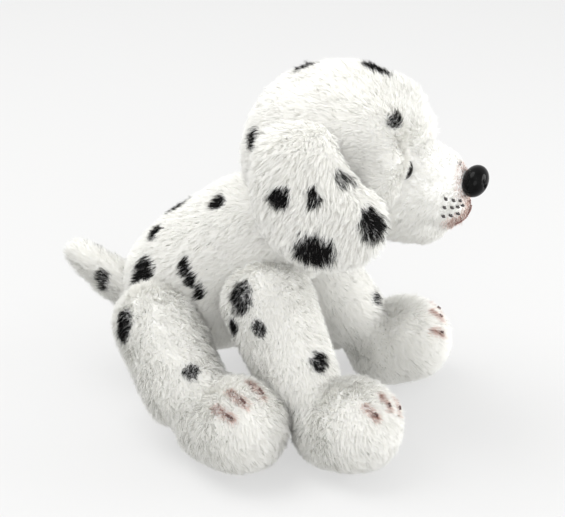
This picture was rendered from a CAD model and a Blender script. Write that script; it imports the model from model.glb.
"""Looks of the sitting plush dog: sewn skins, combed pile, spots, plastic eyes and nose, embroidery.

Lengths in the tables below are millimetres in the CAD's frame: the dog faces -Y, its left is +X.
Points of paired parts are given for the left side, and spots where they lie. Meshes are made in metres.
"""

import math

import bmesh
import bpy
import numpy as np
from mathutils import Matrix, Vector
from mathutils.kdtree import KDTree


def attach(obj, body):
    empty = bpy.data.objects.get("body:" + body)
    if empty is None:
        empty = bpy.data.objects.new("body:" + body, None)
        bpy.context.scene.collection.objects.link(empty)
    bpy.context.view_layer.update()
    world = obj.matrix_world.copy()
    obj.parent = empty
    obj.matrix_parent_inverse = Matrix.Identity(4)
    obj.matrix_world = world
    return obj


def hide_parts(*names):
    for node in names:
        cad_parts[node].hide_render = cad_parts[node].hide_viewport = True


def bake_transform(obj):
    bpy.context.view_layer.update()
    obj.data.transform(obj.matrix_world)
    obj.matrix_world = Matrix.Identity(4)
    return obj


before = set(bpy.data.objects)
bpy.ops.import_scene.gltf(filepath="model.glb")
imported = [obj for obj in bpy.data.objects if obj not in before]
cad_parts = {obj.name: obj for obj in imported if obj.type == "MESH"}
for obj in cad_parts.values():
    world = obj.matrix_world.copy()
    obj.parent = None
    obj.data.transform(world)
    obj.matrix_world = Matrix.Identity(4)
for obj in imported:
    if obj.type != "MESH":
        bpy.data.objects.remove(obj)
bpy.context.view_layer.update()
MM = 0.001
SIDES = {"left": 1, "right": -1}

# ---------------------------------------------------------------- driving values

SKIN_INSET = 1.8  # the woven backing lies this far inside the middle of the pile
FILL_INSET = 3.4
PILE_PER_MM2 = 8.0
STRAND_WIDTH = 0.21
PILE_LENGTH = 4.6
CLUMP_SIZE = 1.5
MOST_STRANDS = 60000  # in one object of pile

SKULL = ((0, -31, 141), (0, -39, 141), 35.5, 35.5)
MUZZLE_CENTRE = (0, -77.5, 124)
NECK_PIVOT = (0, -8, 95)
NECK_RADIUS = 29.0
RUMP = (0, 42, 60)
TAIL = ((0, 68, 48), (0, 101, 66), 12.0, 5.2)
LEGS = {
    "front": {
        "hip": (25, -14, 73),
        "ankle": (41, -40, 28),
        "foot": (44, -56, 18.5),
        "radii": (18.0, 15.5),
        "toe_out": 20,
        "heel": 4.1,
        "toe_clocks": (-50, -15, 21),
        "toe_leans": (41, 58),
        "fullness": [((26, -9, 68), (37, -28, 40), 19.5, 17.0)],
    },
    "hind": {
        "hip": (32, 40, 52),
        "ankle": (57, 9, 28),
        "foot": (61, -8, 18.5),
        "radii": (18.5, 15.0),
        "toe_out": 28,
        "heel": 10.0,
        "toe_clocks": (-12, 18, 44),
        "toe_leans": (61, 88),
        "fullness": [((34, 43, 52), (53, 22, 28), 20.0, 17.0)],
    },
}
FOOT_RADIUS = 21.4
FOOT_REACH = 5.0  # from the middle of the foot to the middle of its toe ball
TOE_LIFT = 4.0
TOE_FULLNESS = 1.2
SOLE_SKIN = 3.6  # puts the skin of the sole about 1 mm above the floor
SOLE_SEAM = 3.2  # height of the seam round the sole
MOST_SWELL = 2.2  # how far the stuffing may push the skin out
SEAM_HOLD = 1.6  # cloth this near a seam stays in place while it is blown out
CLOTH_FRAMES = 20
HEAD_CENTRE = (0, -42, 138)
TORSO_CENTRE = (0, 16, 78)
GUSSET_HALF = 15
CHIN_TOP = 120
EAR_PILE = {"front": 6.0, "lining": 2.6}
TAIL_PILE = 5.2
# Where bending cloth starts and stops: along the leg or tail from its pivot, and up from the ear's seam.
LEG_BEND = (-4, 20)
TAIL_BEND = (2, 18)
EAR_BEND = (1, -12)
EAR_SEAM = (34.0, -35, 155)
EAR_CURVE_CENTRE = (-31.5, -40, 117)
EAR_MIDDLE_RADIUS = 79.9
EAR_HALF_THICK = 2.3
EAR_OUTLINE = [
    (-23, 157),
    (-14, 149),
    (-11, 137),
    (-12, 123),
    (-18, 111),
    (-30, 103),
    (-45, 99.5),
    (-58, 101.5),
    (-66, 108.5),
    (-69, 119),
    (-66, 130),
    (-57, 139),
    (-50, 148),
    (-44, 156),
    (-34, 159.5),
]
EYE_CENTRE = (16.2, -70.2, 138.0)
EYE_FACING = (0.52, -0.85, 0.05)
EYE_RADIUS = 5.5
EYE_BARE = 5.2  # no pile is rooted nearer the middle of an eye than this
NOSE_CENTRE = (0, -100.4, 130.2)
NOSE_HALF_SIZES = (8.4, 5.8, 7.3)
NOSE_LEAN = -16
NOSE_SEAT = (0, -97, 129.5)

# Spots: centre, half sizes along X, Y and Z, and how many of its strands are black.
HEAD_SPOTS = [
    ((8, -52.4, 176), (7, 6.4, 6), 1.0),
    ((2, -19, 174.5), (6, 4.6, 4), 1.0),
    ((-22.3, -69.2, 162.0), (7, 3.2, 2.8), 1.0),
    ((-26, -0.5, 146), (6, 4.2, 6.5), 1.0),
    ((-2, -95, 140.5), (3.5, 3, 2.2), 0.5),
    ((28, -50, 156), (6, 5, 4.5), 1.0),
    ((24, -8, 158), (7, 6, 6), 1.0),
    ((-10, 0, 166), (4, 4, 3), 1.0),
    ((2, 4, 128), (7, 4, 5), 1.0),
]
EAR_SPOTS = {
    "right": [
        ((-50, -26.5, 131), (9, 5.0, 2.9), 1.0),
        ((-50, -42, 133), (9, 2.7, 2.9), 0.95),
        ((-50, -54, 140), (9, 4.0, 2.6), 0.75),
        ((-48, -67, 121.5), (9, 4.6, 7.6), 1.0),
        ((-50, -42.8, 110), (9, 8.6, 5.6), 1.0),
    ],
    "left": [
        ((50, -30, 118), (9, 7.5, 5.5), 1.0),
        ((50, -55, 128), (9, 5.0, 5.0), 1.0),
        ((50, -44, 147), (9, 4.5, 3.0), 0.9),
        ((50, -62, 108), (9, 5.0, 4.0), 1.0),
    ],
}
TORSO_SPOTS = [
    ((-17.5, 17.5, 111.5), (4.5, 3.2, 4.2), 1.0),
    ((-13, 53, 89), (5, 3.8, 4.6), 1.0),
    ((1, 41, 97), (4.5, 9, 6), 1.0),
    ((-27, 54.5, 71.5), (8, 6.4, 8.8), 1.0),
    ((-30.5, 29.5, 80), (5, 2.6, 4.6), 1.0),
    ((-31, 26, 74.5), (5, 2.3, 4.2), 1.0),
    ((-31, 22, 68), (5, 2.2, 4.2), 1.0),
    ((22, 44, 86), (7, 7, 7), 1.0),
    ((28, 18, 84), (6, 5, 6), 1.0),
    ((18, 62, 66), (5, 5, 5), 1.0),
    ((12, 26, 108), (5, 4, 4), 1.0),
]
LEG_SPOTS = {
    ("front", "right"): [
        ((-42, -4.5, 76), (8, 5.6, 6.4), 1.0),
        ((-46, -15.5, 65), (6, 3.2, 3.6), 1.0),
        ((-40, -2.0, 62), (6, 3.0, 4.0), 1.0),
        ((-44, -44, 51), (6, 3.4, 3.6), 1.0),
    ],
    ("front", "left"): [
        ((37, -48, 47), (5, 3.6, 2.6), 0.8),
        ((44, -18, 62), (6, 5, 5), 1.0),
    ],
    ("hind", "right"): [
        ((-51, 51, 57), (7, 4.2, 8.0), 1.0),
        ((-64, 11, 45), (6, 4.4, 2.8), 1.0),
    ],
    ("hind", "left"): [
        ((52, 40, 58), (7, 6, 6), 1.0),
        ((66, 12, 42), (5, 4, 4), 1.0),
    ],
}
TAIL_SPOTS = [((-10, 83, 58), (4, 2.6, 6.5), 0.95), ((7, 92, 66), (4, 3, 3), 0.9)]

# ---------------------------------------------------------------- signed distances


def on_side(point, side):
    return (point[0] * side, point[1], point[2])


def round_cone(p, start, end, r_start, r_end):
    """Distance from each point to two balls and the cone that touches both."""
    a = np.array(start, float)
    ba = np.array(end, float) - a
    length2 = ba @ ba
    rr = r_start - r_end
    a2 = length2 - rr * rr
    pa = p - a
    y = pa @ ba
    z = y - length2
    x2 = ((pa * length2 - np.outer(y, ba)) ** 2).sum(1)
    y2 = y * y * length2
    z2 = z * z * length2
    k = np.sign(rr) * rr * rr * x2
    far_end = np.sqrt(x2 + z2) / length2 - r_end
    near_end = np.sqrt(x2 + y2) / length2 - r_start
    side = (np.sqrt(x2 * a2 / length2) + y * rr) / length2 - r_start
    near = np.where(np.sign(y) * a2 * y2 < k, near_end, side)
    return np.where(np.sign(z) * a2 * z2 > k, far_end, near)


def ball(p, centre, radius):
    return np.linalg.norm(p - np.array(centre, float), axis=1) - radius


def soft_union(d1, d2, k):
    h = np.clip(0.5 + 0.5 * (d2 - d1) / k, 0, 1)
    return d2 * (1 - h) + d1 * h - k * h * (1 - h)


def soft_cut(d1, d2, k):
    return -soft_union(-d1, d2, k)


def muzzle_distance(p):
    d = round_cone(p, (0, -58, 123), (0, -80.3, 124.5), 25.0, 18.4)
    d = soft_union(d, round_cone(p, (0, -64, 136.5), (0, -84.5, 131), 16.4, 12.8), 5)
    d = soft_union(d, ball(p, (0, -87.5, 118), 12.3), 4)
    return soft_union(d, round_cone(p, (0, -60, 114), (0, -77.5, 111.5), 17.0, 14.6), 1.2)


def head_distance(p):
    d = soft_union(round_cone(p, *SKULL), ball(p, (0, -40, 144), 34.5), 3)
    d = soft_union(d, ball(p, (0, -25, 132), 33.5), 6)
    for side in (-1, 1):
        brow = ball(p, (side * 16, -56, 152), 17.5)
        cheek = ball(p, (side * 21, -53.5, 126), 15.0)
        beside_eye = round_cone(p, (side * 24, -66.3, 143.5), (side * 25.5, -63.0, 132), 10.3, 10.2)
        d = soft_union(d, soft_union(soft_union(brow, cheek, 10), beside_eye, 4), 6)
    d = soft_union(d, ball(p, (0, -66, 146), 13.5), 5)
    return soft_union(d, muzzle_distance(p), 1.6)


def neck_distance(p):
    return ball(p, NECK_PIVOT, NECK_RADIUS)


def torso_distance(p):
    d = round_cone(p, RUMP, NECK_PIVOT, 30.0, NECK_RADIUS)
    d = soft_union(d, round_cone(p, (0, 31, 74), (0, 9, 92), 28.0, 26.5), 6)
    return soft_union(d, ball(p, (0, 24, 52), 25), 8)


def tail_distance(p):
    return soft_union(round_cone(p, *TAIL), round_cone(p, (0, 82, 54), (0, 99, 65), 9.5, 7.0), 3)


def toe_way(leg, side):
    turn = math.radians(leg["toe_out"])
    return np.array([side * math.sin(turn), -math.cos(turn), 0.0])


def toe_centre(leg, side):
    """Middle of the ball at the front of the paw."""
    foot = np.array(on_side(leg["foot"], side), float)
    return foot + toe_way(leg, side) * FOOT_REACH + np.array([0, 0, TOE_LIFT])


def leg_distance(p, leg, side):
    """The shin and the paw, rounded where they meet the floor."""
    foot = np.array(on_side(leg["foot"], side), float)
    d = round_cone(p, on_side(leg["hip"], side), on_side(leg["ankle"], side), *leg["radii"])
    for start, end, r_start, r_end in leg["fullness"]:
        d = soft_union(d, round_cone(p, on_side(start, side), on_side(end, side), r_start, r_end), 6)
    heel = foot - toe_way(leg, side) * leg["heel"]
    paw = round_cone(p, heel, toe_centre(leg, side), FOOT_RADIUS, FOOT_RADIUS + TOE_FULLNESS)
    d = soft_union(d, paw, 5)
    return soft_cut(d, p[:, 2] - SKIN_INSET + SOLE_SKIN, 3.0)


# ---------------------------------------------------------------- meshes


def new_object(name, verts, faces):
    mesh = bpy.data.meshes.new(name)
    mesh.from_pydata([tuple(v) for v in verts], [], [tuple(f) for f in faces])
    mesh.polygons.foreach_set("use_smooth", [True] * len(mesh.polygons))
    mesh.update()
    obj = bpy.data.objects.new(name, mesh)
    bpy.context.scene.collection.objects.link(obj)
    return obj


def sphere_grid(detail):
    bm = bmesh.new()
    bmesh.ops.create_icosphere(bm, subdivisions=detail, radius=1.0)
    verts = np.array([v.co for v in bm.verts])
    faces = np.array([[v.index for v in f.verts] for f in bm.faces])
    bm.free()
    return verts / np.linalg.norm(verts, axis=1)[:, None], faces


GRIDS = {detail: sphere_grid(detail) for detail in (4, 5, 6)}


def closed_form(distance, centre, detail, inset=0.0, reach=130.0):
    """Vertices, in millimetres, where rays from the centre leave the form."""
    rays, faces = GRIDS[detail]
    centre = np.array(centre, float)
    low = np.zeros(len(rays))
    high = np.full(len(rays), reach)
    for _ in range(26):
        middle = (low + high) / 2
        inside = distance(centre + rays * middle[:, None]) < -inset
        low = np.where(inside, middle, low)
        high = np.where(inside, high, middle)
    return centre + rays * low[:, None], faces


def vertex_normals(verts, faces):
    corner = verts[faces]
    face_normal = np.cross(corner[:, 1] - corner[:, 0], corner[:, 2] - corner[:, 0])
    normals = np.zeros_like(verts)
    for k in range(3):
        np.add.at(normals, faces[:, k], face_normal)
    return normals / np.maximum(np.linalg.norm(normals, axis=1), 1e-12)[:, None]


def wave(p, seed, size):
    """Smooth noise from -1 to 1, about size millimetres from crest to crest."""
    draw = np.random.default_rng(seed)
    total = np.zeros(len(p))
    for _ in range(5):
        way = draw.normal(size=3)
        way *= 2 * math.pi / (size * draw.uniform(0.7, 1.5) * np.linalg.norm(way))
        total += np.sin(p @ way + draw.uniform(0, 6.28))
    return np.clip(total / 2.6, -1, 1)


def cut_panel(name, verts, faces, keeps, material, thick=1.1):
    """The part of a closed skin on the kept side of every plane, as cloth of some thickness."""
    bm = bmesh.new()
    made = [bm.verts.new(v) for v in verts * MM]
    for face in faces:
        bm.faces.new([made[i] for i in face])
    for point, facing in keeps:
        everything = bm.verts[:] + bm.edges[:] + bm.faces[:]
        bmesh.ops.bisect_plane(
            bm,
            geom=everything,
            plane_co=Vector(point) * MM,
            plane_no=-Vector(facing),
            clear_outer=True,
        )
    mesh = bpy.data.meshes.new(name)
    bm.to_mesh(mesh)
    bm.free()
    obj = bpy.data.objects.new(name, mesh)
    bpy.context.scene.collection.objects.link(obj)
    solid = obj.modifiers.new("cloth", "SOLIDIFY")
    solid.thickness = thick * MM
    solid.offset = -1
    apply_modifiers(obj)
    obj.data.polygons.foreach_set("use_smooth", [True] * len(obj.data.polygons))
    obj.data.set_sharp_from_angle(angle=math.radians(50))
    obj.data.materials.append(material)
    return obj


def apply_modifiers(obj):
    depsgraph = bpy.context.evaluated_depsgraph_get()
    made = bpy.data.meshes.new_from_object(obj.evaluated_get(depsgraph))
    obj.modifiers.clear()
    old = obj.data
    obj.data = made
    bpy.data.meshes.remove(old)


# ---------------------------------------------------------------- materials


def material(name, roughness, sheen=0.0):
    made = bpy.data.materials.new(name)
    made.use_nodes = True
    shader = made.node_tree.nodes["Principled BSDF"]
    shader.inputs["Roughness"].default_value = roughness
    shader.inputs["Sheen Weight"].default_value = sheen
    shader.inputs["Sheen Roughness"].default_value = 0.5
    return made, made.node_tree, shader


def add(tree, kind, **values):
    node = tree.nodes.new(kind)
    for key, value in values.items():
        if key in node.inputs:
            node.inputs[key].default_value = value
        else:
            setattr(node, key, value)
    return node


def ramp(tree, source, stops, interpolation="LINEAR"):
    node = tree.nodes.new("ShaderNodeValToRGB")
    node.color_ramp.interpolation = interpolation
    elements = node.color_ramp.elements
    while len(elements) > 1:
        elements.remove(elements[-1])
    elements[0].position = stops[0][0]
    elements[0].color = (*stops[0][1], 1)
    for position, colour in stops[1:]:
        elements.new(position).color = (*colour, 1)
    tree.links.new(source, node.inputs["Fac"])
    return node.outputs["Color"]


def cloth_material(name, low, high, scale, bump):
    """Knitted backing or fibre: mottled colour with a fine relief."""
    made, tree, shader = material(name, 0.92, sheen=0.25)
    place = add(tree, "ShaderNodeTexCoord")
    noise = add(tree, "ShaderNodeTexNoise", Scale=scale, Detail=6.0, Roughness=0.65)
    tree.links.new(place.outputs["Object"], noise.inputs["Vector"])
    mottle = ramp(tree, noise.outputs["Fac"], [(0.3, low), (0.7, high)])
    tree.links.new(mottle, shader.inputs["Base Color"])
    relief = add(tree, "ShaderNodeBump", Strength=bump, Distance=0.0004)
    tree.links.new(noise.outputs["Fac"], relief.inputs["Height"])
    tree.links.new(relief.outputs["Normal"], shader.inputs["Normal"])
    return made


def plastic_material(name, colour, paler):
    """Moulded glossy plastic with a very slight unevenness."""
    made, tree, shader = material(name, 0.08)
    shader.inputs["Specular IOR Level"].default_value = 0.06
    place = add(tree, "ShaderNodeTexCoord")
    noise = add(tree, "ShaderNodeTexNoise", Scale=260.0, Detail=3.0)
    tree.links.new(place.outputs["Object"], noise.inputs["Vector"])
    mottle = ramp(tree, noise.outputs["Fac"], [(0.35, colour), (0.65, paler)])
    tree.links.new(mottle, shader.inputs["Base Color"])
    relief = add(tree, "ShaderNodeBump", Strength=0.06, Distance=0.0002)
    tree.links.new(noise.outputs["Fac"], relief.inputs["Height"])
    tree.links.new(relief.outputs["Normal"], shader.inputs["Normal"])
    return made


# Columns of the pile's map: each kind of strand has its own range of u, and v runs from root to tip.
KINDS = {
    "white": (0.0, 0.5),
    "black": (0.5, 0.66),
    "brown": (0.66, 0.8),
    "pink": (0.8, 0.9),
    "grey": (0.9, 1.0),
}
ROOT_COLOURS = {
    "white": (0.95, 0.942, 0.90),
    "black": (0.004, 0.004, 0.0045),
    "brown": (0.25, 0.13, 0.10),
    "pink": (0.62, 0.46, 0.41),
    "grey": (0.26, 0.25, 0.24),
}
TIP_COLOURS = {
    "white": (0.985, 0.984, 0.972),
    "black": (0.012, 0.0115, 0.011),
    "brown": (0.40, 0.24, 0.20),
    "pink": (0.85, 0.70, 0.65),
    "grey": (0.45, 0.44, 0.43),
}


def pile_material():
    """Coloured by each strand's place in the pile's map, darker towards the root."""
    made, tree, shader = material("pile", 0.8)
    shader.inputs["Specular IOR Level"].default_value = 0.12
    place = add(tree, "ShaderNodeUVMap", uv_map="OFBake")
    split = add(tree, "ShaderNodeSeparateXYZ")
    tree.links.new(place.outputs["UV"], split.inputs["Vector"])
    ends = []
    for colours in (ROOT_COLOURS, TIP_COLOURS):
        stops = [(KINDS[kind][0], colours[kind]) for kind in KINDS]
        ends.append(ramp(tree, split.outputs["X"], stops, "CONSTANT"))
    along = add(tree, "ShaderNodeMix", data_type="RGBA")
    tree.links.new(split.outputs["Y"], along.inputs["Factor"])
    tree.links.new(ends[0], along.inputs[6])
    tree.links.new(ends[1], along.inputs[7])
    streak = add(tree, "ShaderNodeTexNoise", noise_dimensions="1D", Scale=60.0, Detail=2.0)
    tree.links.new(split.outputs["X"], streak.inputs["W"])
    shade = ramp(tree, streak.outputs["Fac"], [(0.3, (0.92, 0.92, 0.90)), (0.6, (1, 1, 1))])
    varied = add(tree, "ShaderNodeMix", data_type="RGBA", blend_type="MULTIPLY")
    varied.inputs["Factor"].default_value = 1.0
    tree.links.new(along.outputs[2], varied.inputs[6])
    tree.links.new(shade, varied.inputs[7])
    tree.links.new(varied.outputs[2], shader.inputs["Base Color"])
    through = add(tree, "ShaderNodeBsdfTranslucent")
    tree.links.new(varied.outputs[2], through.inputs["Color"])
    both = add(tree, "ShaderNodeMixShader", Fac=0.4)
    tree.links.new(shader.outputs["BSDF"], both.inputs[1])
    tree.links.new(through.outputs["BSDF"], both.inputs[2])
    tree.links.new(both.outputs["Shader"], tree.nodes["Material Output"].inputs["Surface"])
    return made


BACKING = cloth_material("backing", (0.84, 0.84, 0.83), (0.93, 0.93, 0.92), 900.0, 0.5)
FIBRE = cloth_material("fibre_fill", (0.80, 0.80, 0.79), (0.95, 0.95, 0.94), 350.0, 0.9)
WHISKER = cloth_material("whisker_thread", (0.02, 0.018, 0.018), (0.07, 0.06, 0.06), 2500.0, 0.6)
MOUTH = cloth_material("mouth_thread", (0.13, 0.06, 0.05), (0.26, 0.14, 0.12), 2500.0, 0.6)
TOE = cloth_material("toe_thread", (0.05, 0.025, 0.022), (0.12, 0.06, 0.05), 2500.0, 0.6)
NOSE = plastic_material("nose_plastic", (0.002, 0.002, 0.002), (0.005, 0.005, 0.005))
EYE = plastic_material("eye_plastic", (0.002, 0.0015, 0.0015), (0.006, 0.004, 0.003))
WASHER = plastic_material("washer_plastic", (0.70, 0.70, 0.68), (0.78, 0.78, 0.76))
PILE = pile_material()

# ---------------------------------------------------------------- pile


def tangent(vectors, normals):
    return unit(vectors - (vectors * normals).sum(1)[:, None] * normals)


def unit(vectors):
    return vectors / np.maximum(np.linalg.norm(vectors, axis=1), 1e-9)[:, None]


def scatter(verts, faces, per_mm2, seed):
    """Random points on the skin, with the skin's normal at each."""
    draw = np.random.default_rng(seed)
    corner = verts[faces]
    face_normals = np.cross(corner[:, 1] - corner[:, 0], corner[:, 2] - corner[:, 0])
    areas = np.linalg.norm(face_normals, axis=1) / 2
    count = int(areas.sum() * per_mm2)
    chosen = np.searchsorted(np.cumsum(areas) / areas.sum(), np.sort(draw.random(count)))
    chosen = np.clip(chosen, 0, len(faces) - 1)
    u = draw.random(count)
    v = draw.random(count)
    flip = u + v > 1
    u[flip], v[flip] = 1 - u[flip], 1 - v[flip]
    weights = np.stack([1 - u - v, u, v], 1)[:, :, None]
    normals = vertex_normals(verts, faces)
    points = (corner[chosen] * weights).sum(1)
    return points, unit((normals[faces[chosen]] * weights).sum(1))


def spot_strength(points, spots, seed):
    """For each point, the share of black strands there."""
    ragged = wave(points, seed, 5.0) * 0.16
    strength = np.zeros(len(points))
    for centre, sizes, share in spots:
        away = np.linalg.norm((points - np.array(centre)) / np.array(sizes), axis=1) + ragged
        strength = np.maximum(strength, share * np.clip((1.2 - away) / 0.4, 0, 1))
    return strength


def grow_pile(name, skin, comb, length, colour, keep, seed, lean=(30, 58), gather=0.32):
    """Flat tapering strands in two bends, drawn together at their tips in small tufts.

    comb, length, colour and keep are functions of the root points and normals.
    Returns one object for every MOST_STRANDS strands.
    """
    draw = np.random.default_rng(seed)
    points, normals = scatter(*skin, PILE_PER_MM2, seed)
    kept = keep(points, normals)
    points, normals = points[kept], normals[kept]
    count = len(points)
    way = tangent(comb(points, normals), normals)
    across = np.cross(normals, way)
    swirl = np.radians(22) * wave(points, seed + 1, 19) + np.radians(12) * wave(points, seed + 2, 7)
    wander = np.stack([wave(points, seed + k, 6) for k in (3, 4, 5)], 1)
    cell = np.floor((points + 0.5 * wander) / CLUMP_SIZE)
    _, tuft = np.unique(cell, axis=0, return_inverse=True)
    tuft = tuft.ravel()
    tufts = tuft.max() + 1
    size = np.bincount(tuft, minlength=tufts)[:, None]

    def tuft_mean(values):
        sums = np.stack([np.bincount(tuft, values[:, k], minlength=tufts) for k in range(3)], 1)
        return (sums / size)[tuft]

    swirl += np.radians(10) * draw.normal(size=tufts)[tuft] + np.radians(9) * draw.normal(size=count)
    way = way * np.cos(swirl)[:, None] + across * np.sin(swirl)[:, None]
    reach = length(points, normals) * (0.82 + 0.3 * draw.random(count))
    reach = reach * (1 + 0.1 * draw.normal(size=tufts)[tuft])
    tilt = np.radians(7) * draw.normal(size=tufts)[tuft] + np.radians(8) * draw.normal(size=count)
    low, high = np.radians(lean[0]) + tilt, np.radians(lean[1]) + tilt
    first = normals * np.cos(low)[:, None] + way * np.sin(low)[:, None]
    second = normals * np.cos(high)[:, None] + way * np.sin(high)[:, None]
    root = points - normals * 0.5
    middle = root + first * (reach * 0.5)[:, None]
    tip = middle + second * (reach * 0.5)[:, None]
    draw_in = (gather * (0.3 + 0.7 * draw.random(tufts)))[tuft][:, None]
    tip = tip * (1 - draw_in) + tuft_mean(tip) * draw_in
    middle = middle * (1 - draw_in * 0.3) + tuft_mean(middle) * draw_in * 0.3
    flat_way = unit(np.cross(first, unit(normals + 0.7 * draw.normal(size=(count, 3)))))
    inward = (np.cross(flat_way, first) * normals).sum(1) < 0
    flat_way[inward] *= -1
    half = flat_way * (STRAND_WIDTH * (0.8 + 0.4 * draw.random(count)) / 2)[:, None]
    strands = np.stack([root - half, root + half, middle - half * 0.8, middle + half * 0.8, tip], 1)
    strands[:, :, 2] = np.maximum(strands[:, :, 2], 0.15)
    kinds = colour([points, middle, tip], draw)
    columns = np.zeros(count)
    for kind, (start, stop) in KINDS.items():
        here = kinds == kind
        columns[here] = start + (stop - start) * (0.06 + 0.88 * draw.random(int(here.sum())))
    soft = unit(normals + unit(np.cross(flat_way, first)) * 0.2)
    objects = []
    order = np.argsort(points[:, 2], kind="stable")
    pieces = max(1, math.ceil(count / MOST_STRANDS))
    for number, chosen in enumerate(np.array_split(order, pieces)):
        title = f"{name}_{number + 1}" if pieces > 1 else name
        objects.append(strand_object(title, strands[chosen], columns[chosen], soft[chosen]))
    return objects


def strand_object(name, strands, columns, soft):
    count = len(strands)
    mesh = bpy.data.meshes.new(name)
    mesh.vertices.add(count * 5)
    mesh.vertices.foreach_set("co", (strands.reshape(-1, 3) * MM).astype(np.float32).ravel())
    corner = np.array([0, 1, 3, 2, 2, 3, 4])
    loops = (np.arange(count)[:, None] * 5 + corner).ravel()
    mesh.loops.add(len(loops))
    mesh.loops.foreach_set("vertex_index", loops.astype(np.int32))
    mesh.polygons.add(count * 2)
    starts = (np.arange(count)[:, None] * 7 + np.array([0, 4])).ravel()
    mesh.polygons.foreach_set("loop_start", starts.astype(np.int32))
    mesh.polygons.foreach_set("use_smooth", np.ones(count * 2, bool))
    mesh.update(calc_edges=True)
    layer = mesh.uv_layers.new(name="OFBake")
    height = np.array([0.03, 0.03, 0.5, 0.5, 0.97])[corner]
    uv = np.stack([np.repeat(columns, 7), np.tile(height, count)], 1)
    layer.data.foreach_set("uv", uv.astype(np.float32).ravel())
    mesh.normals_split_custom_set_from_vertices(np.repeat(soft, 5, 0).tolist())
    mesh.materials.append(PILE)
    obj = bpy.data.objects.new(name, mesh)
    bpy.context.scene.collection.objects.link(obj)
    return obj


# ---------------------------------------------------------------- stuffing pressure


def ray_tree(rays):
    tree = KDTree(len(rays))
    for number, ray in enumerate(rays):
        tree.insert(ray, number)
    tree.balance()
    return tree


def puffed(skin, centre, seams, most=MOST_SWELL):
    """The closed skin after its cloth is blown out between its seams, which hold it back.

    A coarse copy is simulated, and its swelling is carried to the fine skin along the same rays.
    """
    verts, faces = skin
    rays, coarse_faces = GRIDS[4]
    centre = np.array(centre, float)
    away = verts - centre
    fine_radius = np.linalg.norm(away, axis=1)
    fine_rays = away / fine_radius[:, None]
    tree = ray_tree(fine_rays)
    coarse = np.array([verts[tree.find(ray)[1]] for ray in rays])
    obj = new_object("cloth_trial", coarse * MM, coarse_faces)
    held = np.zeros(len(coarse), bool)
    for point, facing in seams:
        facing = np.array(facing, float) / np.linalg.norm(facing)
        held |= np.abs((coarse - np.array(point)) @ facing) < SEAM_HOLD
    held |= coarse[:, 2] < SKIN_INSET + 1.2
    group = obj.vertex_groups.new(name="seam")
    group.add([int(i) for i in np.nonzero(held)[0]], 1.0, "REPLACE")
    cloth = obj.modifiers.new("cloth", "CLOTH")
    cloth.settings.quality = 5
    cloth.settings.mass = 0.15
    cloth.settings.tension_stiffness = 10
    cloth.settings.vertex_group_mass = "seam"
    cloth.settings.use_pressure = True
    cloth.settings.uniform_pressure_force = 4.0
    cloth.settings.effector_weights.gravity = 0
    cloth.collision_settings.use_collision = False
    cloth.point_cache.frame_start = 1
    cloth.point_cache.frame_end = CLOTH_FRAMES
    for number in range(1, CLOTH_FRAMES + 1):
        bpy.context.scene.frame_set(number)
    shown = obj.evaluated_get(bpy.context.evaluated_depsgraph_get())
    blown = np.array([v.co for v in shown.data.vertices]) / MM
    bpy.context.scene.frame_set(1)
    bpy.data.objects.remove(obj, do_unlink=True)
    swell = np.clip(((blown - coarse) * rays).sum(1), 0, most)
    tree = ray_tree(rays)
    gained = np.zeros(len(verts))
    for number, ray in enumerate(fine_rays):
        near = tree.find_n(ray, 6)
        weights = [1 / (found[2] + 0.01) for found in near]
        gained[number] = sum(w * swell[found[1]] for w, found in zip(weights, near)) / sum(weights)
    return centre + fine_rays * (fine_radius + gained - most * 0.45)[:, None], faces


# ---------------------------------------------------------------- bodies


def place(obj, body, slot, nodes=(), hinge=None):
    """Says what the piece stands for, what moves it and which finish it has."""
    if nodes:
        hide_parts(*nodes)
    if hinge:
        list(hinge)
        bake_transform(obj)
    else:
        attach(obj, body)
    return obj


def spotted(spots, seed, extra=None):
    """A rule that makes the pile black in the spots and, elsewhere, white or as extra says."""

    def colours(samples, draw):
        middles = samples[1]
        strength = np.max([spot_strength(p, spots, seed) for p in samples], axis=0)
        kinds = np.full(len(middles), "white", dtype="<U5")
        if extra:
            kinds = extra(middles, draw, kinds)
        return np.where(draw.random(len(strength)) < strength, "black", kinds)

    return colours


def close_to_line(points, line):
    """Distance from each point to a line through the given points."""
    best = np.full(len(points), 1e9)
    for start, end in zip(line, line[1:]):
        best = np.minimum(best, round_cone(points, start, end, 0.01, 0.009))
    return best


def leg_hinge(end, side_name, leg, side):
    """The cloth at the top of a leg stays with the torso, and the rest follows the leg."""
    hip = np.array(on_side(leg["hip"], side), float)
    way = np.array(on_side(leg["ankle"], side), float) - hip
    way /= np.linalg.norm(way)
    start, stop = (tuple((hip + way * along) * MM) for along in LEG_BEND)
    return ("torso", f"{end}_leg_{side_name}", start, stop)


LEG_FORMS = {}
for end, leg in LEGS.items():
    for side_name, side in SIDES.items():
        LEG_FORMS[end, side_name] = lambda p, leg=leg, side=side: leg_distance(p, leg, side)


def outside(points, forms, margin=0.0):
    clear = np.ones(len(points), bool)
    for form in forms:
        clear &= form(points) > margin
    return clear


# Head


def head_skin_distance(p):
    return soft_cut(head_distance(p), neck_distance(p) - 0.9, 1.5)


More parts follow.
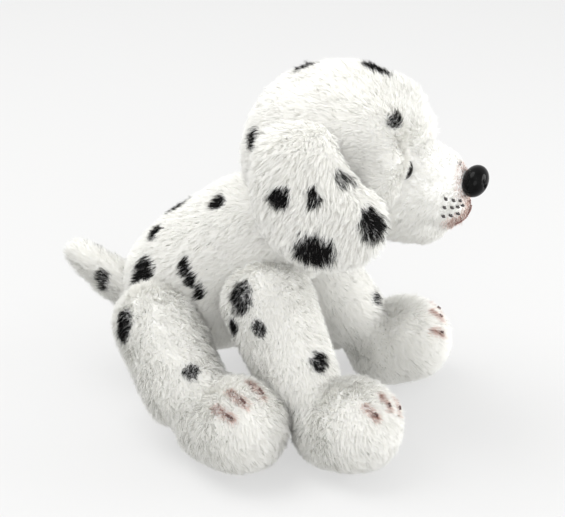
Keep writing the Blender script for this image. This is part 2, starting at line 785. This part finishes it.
head_skin = closed_form(head_skin_distance, HEAD_CENTRE, 6, SKIN_INSET)
gusset = [((-GUSSET_HALF, 0, 0), (1, 0, 0)), ((GUSSET_HALF, 0, 0), (-1, 0, 0))]
head_seams = [((-GUSSET_HALF, 0, 0), (1, 0, 0)), ((GUSSET_HALF, 0, 0), (1, 0, 0))]
head_skin = puffed(head_skin, HEAD_CENTRE, head_seams, most=1.6)
head_panels = {
    "head_gusset": [*gusset, ((0, 0, CHIN_TOP), (0, 0, 1))],
    "head_chin": [*gusset, ((0, 0, CHIN_TOP), (0, 0, -1))],
    "head_side_left": [((GUSSET_HALF, 0, 0), (1, 0, 0))],
    "head_side_right": [((-GUSSET_HALF, 0, 0), (-1, 0, 0))],
}
for node, keeps in head_panels.items():
    place(cut_panel(node + "_cloth", *head_skin, keeps, BACKING), "head", "plush", [node])


def head_comb(points, normals):
    away = unit(points - np.array([0, -96, 132]))
    return away + np.array([0, 0.35, -0.35])


def head_length(points, normals):
    on_muzzle = np.clip((1.5 - muzzle_distance(points)) / 2.5, 0, 1)
    from_nose = np.linalg.norm(points - NOSE_SEAT, axis=1)
    short = np.interp(from_nose, [8, 24, 42], [2.1, 3.0, 3.8])
    short += 1.3 * np.clip((5 - close_to_line(points, MOUTH_LINE)) / 5, 0, 1)
    lengths = PILE_LENGTH * (1 - on_muzzle) + short * on_muzzle
    for side in (-1, 1):
        from_eye = np.linalg.norm(points - np.array(on_side(EYE_CENTRE, side)), axis=1)
        lengths *= np.interp(from_eye, [6, 12], [0.8, 1.0])
    return lengths


def head_keep(points, normals):
    kept = neck_distance(points) > 0.3
    kept &= np.linalg.norm((points - NOSE_CENTRE) / (8.4, 6.6, 7.3), axis=1) > 0.95
    for side in (-1, 1):
        kept &= np.linalg.norm(points - np.array(on_side(EYE_CENTRE, side)), axis=1) > EYE_BARE
    return kept


def on_surface(form, start, way, lift=0.0):
    """Where a ray from inside leaves the form, carried outward by lift."""
    start, way = np.array(start, float), unit(np.array([way], float))[0]
    low, high = 0.0, 60.0
    for _ in range(30):
        middle = (low + high) / 2
        if form((start + way * middle)[None])[0] < 0:
            low = middle
        else:
            high = middle
    return start + way * (low + lift)


def muzzle_point(side, lean, drop, lift=0.0):
    back = math.radians(lean)
    down = math.radians(drop + 0.4 * max(0, 49 - lean) * (drop < 50))
    way = (side * math.cos(down) * math.sin(back), -math.cos(back), -math.sin(down) * math.sin(back))
    return on_surface(muzzle_distance, MUZZLE_CENTRE, way, lift)


WHISKER_ROWS = [(-8, (27, 37, 48)), (8, (24, 31, 39, 49)), (26, (33, 42, 51))]
MOUTH_HALF = [(42, 60), (35, 66), (28, 75), (20, 84), (14, 90)]  # lean and drop, from the corner inwards
MOUTH_LINE = [muzzle_point(1, lean, drop, -0.8) for lean, drop in MOUTH_HALF]
MOUTH_LINE += [muzzle_point(-1, lean, drop, -0.8) for lean, drop in MOUTH_HALF[-2::-1]]


def head_tint(points, draw, kinds):
    from_mouth = close_to_line(points, MOUTH_LINE)
    from_nose = np.linalg.norm(points - NOSE_SEAT, axis=1)
    brown = draw.random(len(points)) < np.clip((4.2 - from_mouth) / 3.0, 0, 1) * 0.4
    pink = draw.random(len(points)) < np.clip((7.0 - from_mouth) / 4.0, 0, 1) * 0.75
    pink |= draw.random(len(points)) < np.clip((11.5 - from_nose) / 3.0, 0, 1) * 0.6
    grey = np.zeros(len(points), bool)
    for side in (-1, 1):
        above_eye = np.array(on_side(EYE_CENTRE, side)) + np.array([0, -2.0, 6.0])
        away = np.linalg.norm(points - above_eye, axis=1)
        pink |= draw.random(len(points)) < np.clip((4.0 - away) / 3, 0, 0.4)
        for drop, leans in WHISKER_ROWS:
            for lean in leans:
                away = np.linalg.norm(points - muzzle_point(side, lean, drop), axis=1)
                grey |= draw.random(len(points)) < np.clip((1.7 - away) / 1.4, 0, 0.55)
    kinds = np.where(grey, "grey", np.where(pink, "pink", kinds))
    return np.where(brown, "brown", kinds)


for obj in grow_pile(
    "head_pile", head_skin, head_comb, head_length, spotted(HEAD_SPOTS, 11, head_tint), head_keep, 101
):
    place(obj, "head", "plush")

# Torso

torso_skin = closed_form(torso_distance, TORSO_CENTRE, 6, SKIN_INSET)
torso_axis = unit(np.array([RUMP]) - np.array([NECK_PIVOT]))[0]
belly_way = np.cross((1, 0, 0), torso_axis)
belly_way *= -np.sign(belly_way[2])
belly_seam = np.array(RUMP) + belly_way * 14
torso_skin = puffed(torso_skin, TORSO_CENTRE, [(belly_seam, belly_way), ((0, 0, 0), (1, 0, 0))])
torso_panels = {"belly": [(belly_seam, belly_way)]}
for side_name, side in SIDES.items():
    torso_panels[f"back_{side_name}"] = [(belly_seam, -belly_way), ((0, 0, 0), (side, 0, 0))]
for node, keeps in torso_panels.items():
    place(cut_panel(node + "_cloth", *torso_skin, keeps, BACKING), "torso", "plush", [node])


def torso_comb(points, normals):
    return np.tile([0.0, 0.75, -0.55], (len(points), 1)) + points * [0.006, 0, 0]


def body_length(points, normals):
    """Short under the head, where the pile only shows once the head nods."""
    return np.interp(head_distance(points), [-3, 1], [2.4, PILE_LENGTH])


def torso_keep(points, normals):
    others = [tail_distance, *LEG_FORMS.values()]
    return outside(points, others, -0.8) & (head_distance(points) > -9.0)


for obj in grow_pile(
    "torso_pile", torso_skin, torso_comb, body_length, spotted(TORSO_SPOTS, 12), torso_keep, 201
):
    place(obj, "torso", "plush")

# Legs


def leg_points(end, side_name):
    """The middle of the toe ball and the lines of the toe stitches on the skin."""
    leg = LEGS[end]
    side = SIDES[side_name]
    ahead = toe_way(leg, side)
    across = np.array([-ahead[1], ahead[0], 0])
    toe = toe_centre(leg, side)
    lines = []
    for clock in leg["toe_clocks"]:
        around = math.radians(clock * side)
        radial = across * math.sin(around) + np.array([0, 0, math.cos(around)])
        line = []
        for lean in np.linspace(*leg["toe_leans"], 4):
            back = math.radians(lean)
            way = ahead * math.cos(back) + radial * math.sin(back)
            line.append(on_surface(LEG_FORMS[end, side_name], toe, way, 0.4 - SKIN_INSET))
        lines.append(line)
    return toe, lines


def build_leg(end, side_name, seed):
    leg = LEGS[end]
    side = SIDES[side_name]
    hinge = leg_hinge(end, side_name, leg, side)
    body = f"{end}_leg_{side_name}"
    form = LEG_FORMS[end, side_name]
    skin = closed_form(form, on_side(leg["ankle"], side), 5, SKIN_INSET)
    hip = np.array(on_side(leg["hip"], side), float)
    run = np.array(on_side(leg["foot"], side), float) - hip
    out = np.array([-run[1], run[0], 0]) * side
    sole = ((0, 0, SOLE_SEAM), (0, 0, 1))
    skin = puffed(skin, on_side(leg["ankle"], side), [(hip, out)])
    panels = {
        f"{end}_leg_outer_{side_name}": [(hip, out), sole],
        f"{end}_leg_inner_{side_name}": [(hip, -out), sole],
        f"{end}_sole_{side_name}": [((0, 0, SOLE_SEAM), (0, 0, -1))],
    }
    for node, keeps in panels.items():
        slot = "sole_plush" if "sole" in node else "plush"
        place(cut_panel(node + "_cloth", *skin, keeps, BACKING), body, slot, [node], hinge)
    toe, lines = leg_points(end, side_name)
    ahead = toe_way(leg, side)
    down = unit(np.array([on_side(leg["ankle"], side)]) - hip)[0]

    def comb(points, normals):
        low = np.clip((38 - points[:, 2]) / 16, 0, 1)[:, None]
        return down * (1 - low) + (ahead * 0.8 + np.array([0, 0, -0.6])) * low

    def length(points, normals):
        lengths = np.interp(points[:, 2], [2, 10, 30, 55], [2.8, 4.4, 5.2, PILE_LENGTH])
        return lengths * np.interp(normals[:, 2], [-0.98, -0.7], [0.5, 1.0])

    def tint(points, draw, kinds):
        for line in lines:
            away = close_to_line(points, line)
            pink = draw.random(len(points)) < np.clip((3.2 - away) / 2.2, 0, 0.75)
            brown = draw.random(len(points)) < np.clip((1.6 - away) / 1.2, 0, 0.6)
            kinds = np.where(brown, "brown", np.where(pink, "pink", kinds))
        return kinds

    def keep(points, normals):
        others = [torso_distance, head_skin_distance]
        return outside(points, others, -0.8)

    spots = LEG_SPOTS[end, side_name]
    tinted = spotted(spots, seed, tint)
    for obj in grow_pile(f"{body}_pile", skin, comb, length, tinted, keep, seed, lean=(24, 54)):
        place(obj, body, "plush", hinge=hinge)


for number, (end, side_name) in enumerate(LEG_FORMS):
    build_leg(end, side_name, 301 + 20 * number)

# Tail

tail_skin = closed_form(tail_distance, TAIL[0], 5, SKIN_INSET)
tail_way = unit(np.array([TAIL[1]], float) - np.array([TAIL[0]], float))[0]
tail_start, tail_stop = (tuple((np.array(TAIL[0]) + tail_way * along) * MM) for along in TAIL_BEND)
tail_hinge = ("torso", "tail", tail_start, tail_stop)
tail_skin = puffed(tail_skin, TAIL[0], [((0, 0, 0), (1, 0, 0))], most=1.2)
for side_name, side in SIDES.items():
    node = f"tail_side_{side_name}"
    panel = cut_panel(node + "_cloth", *tail_skin, [((0, 0, 0), (side, 0, 0))], BACKING)
    place(panel, "tail", "plush", [node], tail_hinge)
for obj in grow_pile(
    "tail_pile",
    tail_skin,
    lambda p, n: np.tile(tail_way, (len(p), 1)),
    lambda p, n: np.full(len(p), TAIL_PILE),
    spotted(TAIL_SPOTS, 13),
    lambda p, n: torso_distance(p) > -0.8,
    401,
    lean=(28, 48),
):
    place(obj, "tail", "plush", hinge=tail_hinge)

# Ears


def smooth_loop(points, count):
    """A closed curve through the points, as evenly spaced points."""
    given = np.array(points, float)
    size = len(given)
    steps = np.linspace(0, size, count * 4, endpoint=False)
    low = np.floor(steps).astype(int)
    t = (steps - low)[:, None]
    p0, p1, p2, p3 = (given[(low + k) % size] for k in (-1, 0, 1, 2))
    bend = (2 * p0 - 5 * p1 + 4 * p2 - p3) * t**2
    twist = (3 * p1 - p0 - 3 * p2 + p3) * t**3
    curve = 0.5 * (2 * p1 + (p2 - p0) * t + bend + twist)
    gaps = np.linalg.norm(np.diff(np.vstack([curve, curve[:1]]), axis=0), axis=1)
    along = np.concatenate([[0], np.cumsum(gaps)[:-1]])
    wanted = np.linspace(0, gaps.sum(), count, endpoint=False)
    wrapped = np.vstack([curve, curve[:1]])
    along = np.append(along, gaps.sum())
    return np.stack([np.interp(wanted, along, wrapped[:, k]) for k in (0, 1)], 1)


def ear_layer(side, outer):
    """One layer of the ear, from the middle of its outline to its edge."""
    edge, middle = EAR_EDGE, EAR_MIDDLE
    rings = np.linspace(0, 1, 30)
    verts = [np.array([middle[0], middle[1], 0.0])]
    for ring in rings[1:]:
        flat = middle + (edge - middle) * ring
        verts += [np.array([y, z, ring]) for y, z in flat]
    verts = np.array(verts)
    puff = EAR_HALF_THICK * np.sqrt(np.clip(1 - verts[:, 2] ** 5, 0, 1)) * (1 if outer else -1)
    centre = np.array(on_side(EAR_CURVE_CENTRE, side), float)
    y = verts[:, 0] - centre[1]
    z = verts[:, 1] - centre[2]
    low = np.clip((150 - verts[:, 1]) / 25, 0, 1)
    fold_away = (verts[:, 1] - 141) + (verts[:, 0] + 52) * -0.75
    valley = -2.6 * np.exp(-((fold_away / 6.0) ** 2)) * np.clip((-40 - verts[:, 0]) / 12, 0, 1)
    sunk = -6.5 * np.clip((verts[:, 1] - 147) / 12, 0, 1) ** 2
    roll = -3.5 * np.clip(verts[:, 2] - 0.72, 0, 1) ** 2 / 0.28**2 * low
    radius = EAR_MIDDLE_RADIUS + puff + valley + sunk + roll + 1.0 * np.sin(verts[:, 0] * 0.13) * low
    x = centre[0] + side * np.sqrt(radius**2 - y**2 - z**2)
    placed = np.stack([x, verts[:, 0], verts[:, 1]], 1)
    faces = []
    count = len(edge)
    for k in range(count):
        faces.append((0, 1 + k, 1 + (k + 1) % count))
    for ring in range(len(rings) - 2):
        a, b = 1 + ring * count, 1 + (ring + 1) * count
        for k in range(count):
            n = (k + 1) % count
            faces += [(a + k, b + k, b + n), (a + k, b + n, a + n)]
    faces = np.array(faces)
    normals = vertex_normals(placed, faces)
    if (normals[:, 0].mean() > 0) != ((side > 0) == outer):
        faces = faces[:, ::-1]
    return placed, faces


EAR_EDGE = smooth_loop(EAR_OUTLINE, 96)
EAR_MIDDLE = EAR_EDGE.mean(0)


def ear_comb(points, normals):
    """Downward, and outward over the rim."""
    to_edge = np.linalg.norm(points[:, None, 1:] - EAR_EDGE[None], axis=2).min(1)
    rim = np.clip((6 - to_edge) / 6, 0, 1)[:, None]
    outward = unit(points[:, 1:] - EAR_MIDDLE)
    return np.array([0.0, 0.12, -1.0]) + rim * np.column_stack([np.zeros(len(points)), outward])


for side_name, side in SIDES.items():
    body = f"ear_{side_name}"
    seam = np.array(on_side(EAR_SEAM, side), float)
    start, stop = (tuple((seam + [0, 0, along]) * MM) for along in EAR_BEND)
    hinge = ("head", body, start, stop)
    for layer, outer in (("front", True), ("lining", False)):
        skin = ear_layer(side, outer)
        cloth = cut_panel(f"ear_{layer}_{side_name}_cloth", *skin, [], BACKING, thick=0.8)
        place(cloth, body, "plush", [f"ear_{layer}_{side_name}"], hinge)
        spots = EAR_SPOTS[side_name] if outer else []
        for obj in grow_pile(
            f"ear_{layer}_{side_name}_pile",
            skin,
            ear_comb,
            lambda p, n: np.full(len(p), EAR_PILE[layer]),
            spotted(spots, 14 + side),
            lambda p, n: head_distance(p) > -1.0,
            501 + 10 * side + outer,
            lean=(34, 66),
            gather=0.6,
        ):
            place(obj, body, "plush", hinge=hinge)

# Stuffing

fills = {
    "head_stuffing": ("head", head_skin_distance, HEAD_CENTRE),
    "torso_stuffing": ("torso", torso_distance, TORSO_CENTRE),
    "tail_stuffing": ("tail", tail_distance, TAIL[0]),
}
for (end, side_name), form in LEG_FORMS.items():
    centre = on_side(LEGS[end]["ankle"], SIDES[side_name])
    fills[f"{end}_leg_stuffing_{side_name}"] = (f"{end}_leg_{side_name}", form, centre)
for node, (body, form, centre) in fills.items():
    verts, faces = closed_form(form, centre, 4, FILL_INSET)
    obj = new_object(node + "_fibre", verts * MM, faces)
    obj.data.materials.append(FIBRE)
    place(obj, body, "stuffing", [node])
shown_as_built = {"neck_stuffing": FIBRE}
for node in ("eye_washer_left", "eye_washer_right", "nose_washer"):
    shown_as_built[node] = WASHER
for node, finish in shown_as_built.items():
    for slot in bpy.data.objects[node].material_slots:
        slot.material = finish

# Eyes and nose


def eye_bead(side_name, side):
    facing = Vector(on_side(EYE_FACING, side)).normalized()
    centre = np.array(on_side(EYE_CENTRE, side))
    rays, faces = GRIDS[5]
    bulge = 1 + 0.05 * np.clip(rays @ np.array(facing), 0, 1) ** 2
    obj = new_object(f"eye_bead_{side_name}", (centre + rays * (EYE_RADIUS * bulge)[:, None]) * MM, faces)
    obj.data.materials.append(EYE)
    return place(obj, "head", "eye_plastic", [f"eye_{side_name}"])


for side_name, side in SIDES.items():
    eye_bead(side_name, side)


def nose_distance(p):
    """A rounded button whose top leans forward, with a comma-shaped nostril each side."""
    tip = math.radians(NOSE_LEAN)
    y = p[:, 1] * math.cos(tip) - p[:, 2] * math.sin(tip)
    z = p[:, 1] * math.sin(tip) + p[:, 2] * math.cos(tip)
    q = np.stack([p[:, 0], y, z], 1) / NOSE_HALF_SIZES
    size = np.linalg.norm(q, axis=1)
    d = (size - 1) * size / np.maximum(np.linalg.norm(q / NOSE_HALF_SIZES, axis=1), 1e-6)
    for side in (-1, 1):
        d = soft_cut(d, ball(p, (side * 3.6, -5.6, -0.8), 1.35), 0.5)
        d = soft_cut(d, round_cone(p, (side * 4.4, -5.6, -0.2), (side * 5.4, -4.9, 1.8), 0.8, 0.6), 0.5)
        d = soft_cut(d, round_cone(p, (side * 5.4, -4.9, 1.8), (side * 4.6, -4.9, 3.8), 0.6, 0.4), 0.5)
    return soft_cut(d, round_cone(p, (0, -4.6, -6.6), (0, -6.0, -3.0), 0.5, 0.3), 0.5)


verts, faces = closed_form(nose_distance, (0, 0.5, 0), 6, 0.0, 20)
nose = new_object("nose_button", (verts + NOSE_CENTRE) * MM, faces)
nose.data.materials.append(NOSE)
place(nose, "head", "nose_plastic", ["nose"])

# Embroidery: each stitch is a twisted thread, lying on the pile.


def thread(name, lines, radius, material_used, sink=0.0):
    """Two-ply threads along the lines, as one mesh."""
    verts, faces = [], []
    around = 6
    for line in lines:
        line = np.array(line, float)
        gaps = np.linalg.norm(np.diff(line, axis=0), axis=1)
        along = np.concatenate([[0], np.cumsum(gaps)])
        count = max(5, int(along[-1] / 0.35))
        steps = np.linspace(0, along[-1], count)
        path = np.stack([np.interp(steps, along, line[:, k]) for k in range(3)], 1)
        ahead = unit(np.gradient(path, axis=0))
        side = unit(np.cross(ahead, [0.13, 0.21, 0.97]))
        up = np.cross(side, ahead)
        for ply in (0, math.pi):
            angle = steps * (1.5 / radius) + ply
            centre = path + (side * np.cos(angle)[:, None] + up * np.sin(angle)[:, None]) * radius * 0.45
            thin = radius * 0.62 * np.sqrt(np.clip(1.02 - (2 * steps / along[-1] - 1) ** 8, 0.05, 1))
            first = len(verts)
            for k in range(count):
                for turn in range(around):
                    t = 2 * math.pi * turn / around
                    verts.append(centre[k] + (side[k] * math.cos(t) + up[k] * math.sin(t)) * thin[k])
            for k in range(count - 1):
                for turn in range(around):
                    a, b = first + k * around + turn, first + k * around + (turn + 1) % around
                    faces.append((a, b, b + around, a + around))
            faces.append(tuple(first + turn for turn in range(around))[::-1])
            faces.append(tuple(first + (count - 1) * around + turn for turn in range(around)))
    obj = new_object(name, np.array(verts) * MM, faces)
    obj.data.materials.append(material_used)
    return obj


for side_name, side in SIDES.items():
    dots = []
    for drop, leans in WHISKER_ROWS:
        for lean in leans:
            dots.append([muzzle_point(side, lean + turn, drop - turn, -0.3) for turn in (-2.2, 2.2)])
    obj = thread(f"whiskers_{side_name}", dots, 0.75, WHISKER)
    place(obj, "head", "whisker_thread", [f"whisker_stitches_{side_name}"])

stem = [muzzle_point(1, lean, 90, -1.4) for lean in (7, 14)]
place(thread("mouth_line", [MOUTH_LINE, stem], 0.42, MOUTH), "head", "mouth_thread", ["mouth_stitches"])
for end, side_name in LEG_FORMS:
    toe, lines = leg_points(end, side_name)
    raised = [[p + (p - toe) * (1.9 / FOOT_RADIUS) for p in line[:2]] for line in lines]
    obj = thread(f"{end}_toe_lines_{side_name}", raised, 0.7, TOE)
    place(obj, f"{end}_leg_{side_name}", "toe_thread", [f"{end}_toe_stitches_{side_name}"])

# ---------------------------------------------------------------- studio


def area_light(name, location, aim, size, power):
    data = bpy.data.lights.new(name, "AREA")
    data.shape = "DISK"
    data.size = size
    data.energy = power
    obj = bpy.data.objects.new(name, data)
    obj.location = location
    obj.rotation_euler = (Vector(aim) - Vector(location)).to_track_quat("-Z", "Y").to_euler()
    obj.visible_camera = False
    bpy.context.scene.collection.objects.link(obj)


# Lights: place and aim in metres, width in metres and power in watts.
LIGHTS = {
    "key": ((-0.12, 0.5, 1.2), (0, 0, 0.08), 0.9, 11.6),
    "front": ((-0.75, -0.45, 0.3), (0, -0.02, 0.02), 0.6, 2.8),
    "fill": ((0.3, -0.8, 0.25), (0.04, -0.06, 0.02), 0.5, 4.4),
    "glint": ((-0.55, -0.55, 0.75), (0, -0.1, 0.13), 0.05, 0.5),
}
CAMERA_AIM = Vector((2, -9, 78)) * MM
CAMERA_TURN = math.radians(-70)
CAMERA_LIFT = math.radians(24)
CAMERA_AWAY = 0.65
FLOOR_HALF = 4
FLOOR_GLOW = 0.545
WORLD_GLOW = 1.07
camera_data = bpy.data.cameras.new("camera")
camera_data.sensor_width = 36
camera_data.lens = 86.3
camera_data.clip_start = 0.02
camera = bpy.data.objects.new("camera", camera_data)
camera_back = Vector(
    (
        math.sin(CAMERA_TURN) * math.cos(CAMERA_LIFT),
        -math.cos(CAMERA_TURN) * math.cos(CAMERA_LIFT),
        math.sin(CAMERA_LIFT),
    )
)
camera.location = CAMERA_AIM + camera_back * CAMERA_AWAY
camera.rotation_euler = (-camera_back).to_track_quat("-Z", "Y").to_euler()
bpy.context.scene.collection.objects.link(camera)
bpy.context.scene.camera = camera

floor_corners = [(x * FLOOR_HALF, y * FLOOR_HALF, 0) for x, y in ((-1, -1), (1, -1), (1, 1), (-1, 1))]
floor = new_object("floor", floor_corners, [(0, 1, 2, 3)])
floor_material, _, floor_shader = material("floor_paint", 0.9)
floor_shader.inputs["Base Color"].default_value = (0.2, 0.2, 0.199, 1)
floor_shader.inputs["Emission Color"].default_value = (1, 1, 0.997, 1)
floor_shader.inputs["Emission Strength"].default_value = FLOOR_GLOW
floor.data.materials.append(floor_material)

world = bpy.data.worlds.new("studio")
world.use_nodes = True
world.node_tree.nodes["Background"].inputs["Color"].default_value = (1, 1, 1, 1)
world.node_tree.nodes["Background"].inputs["Strength"].default_value = WORLD_GLOW
bpy.context.scene.world = world
for name, values in LIGHTS.items():
    area_light(name, *values)
bpy.context.scene.view_settings.view_transform = "Standard"
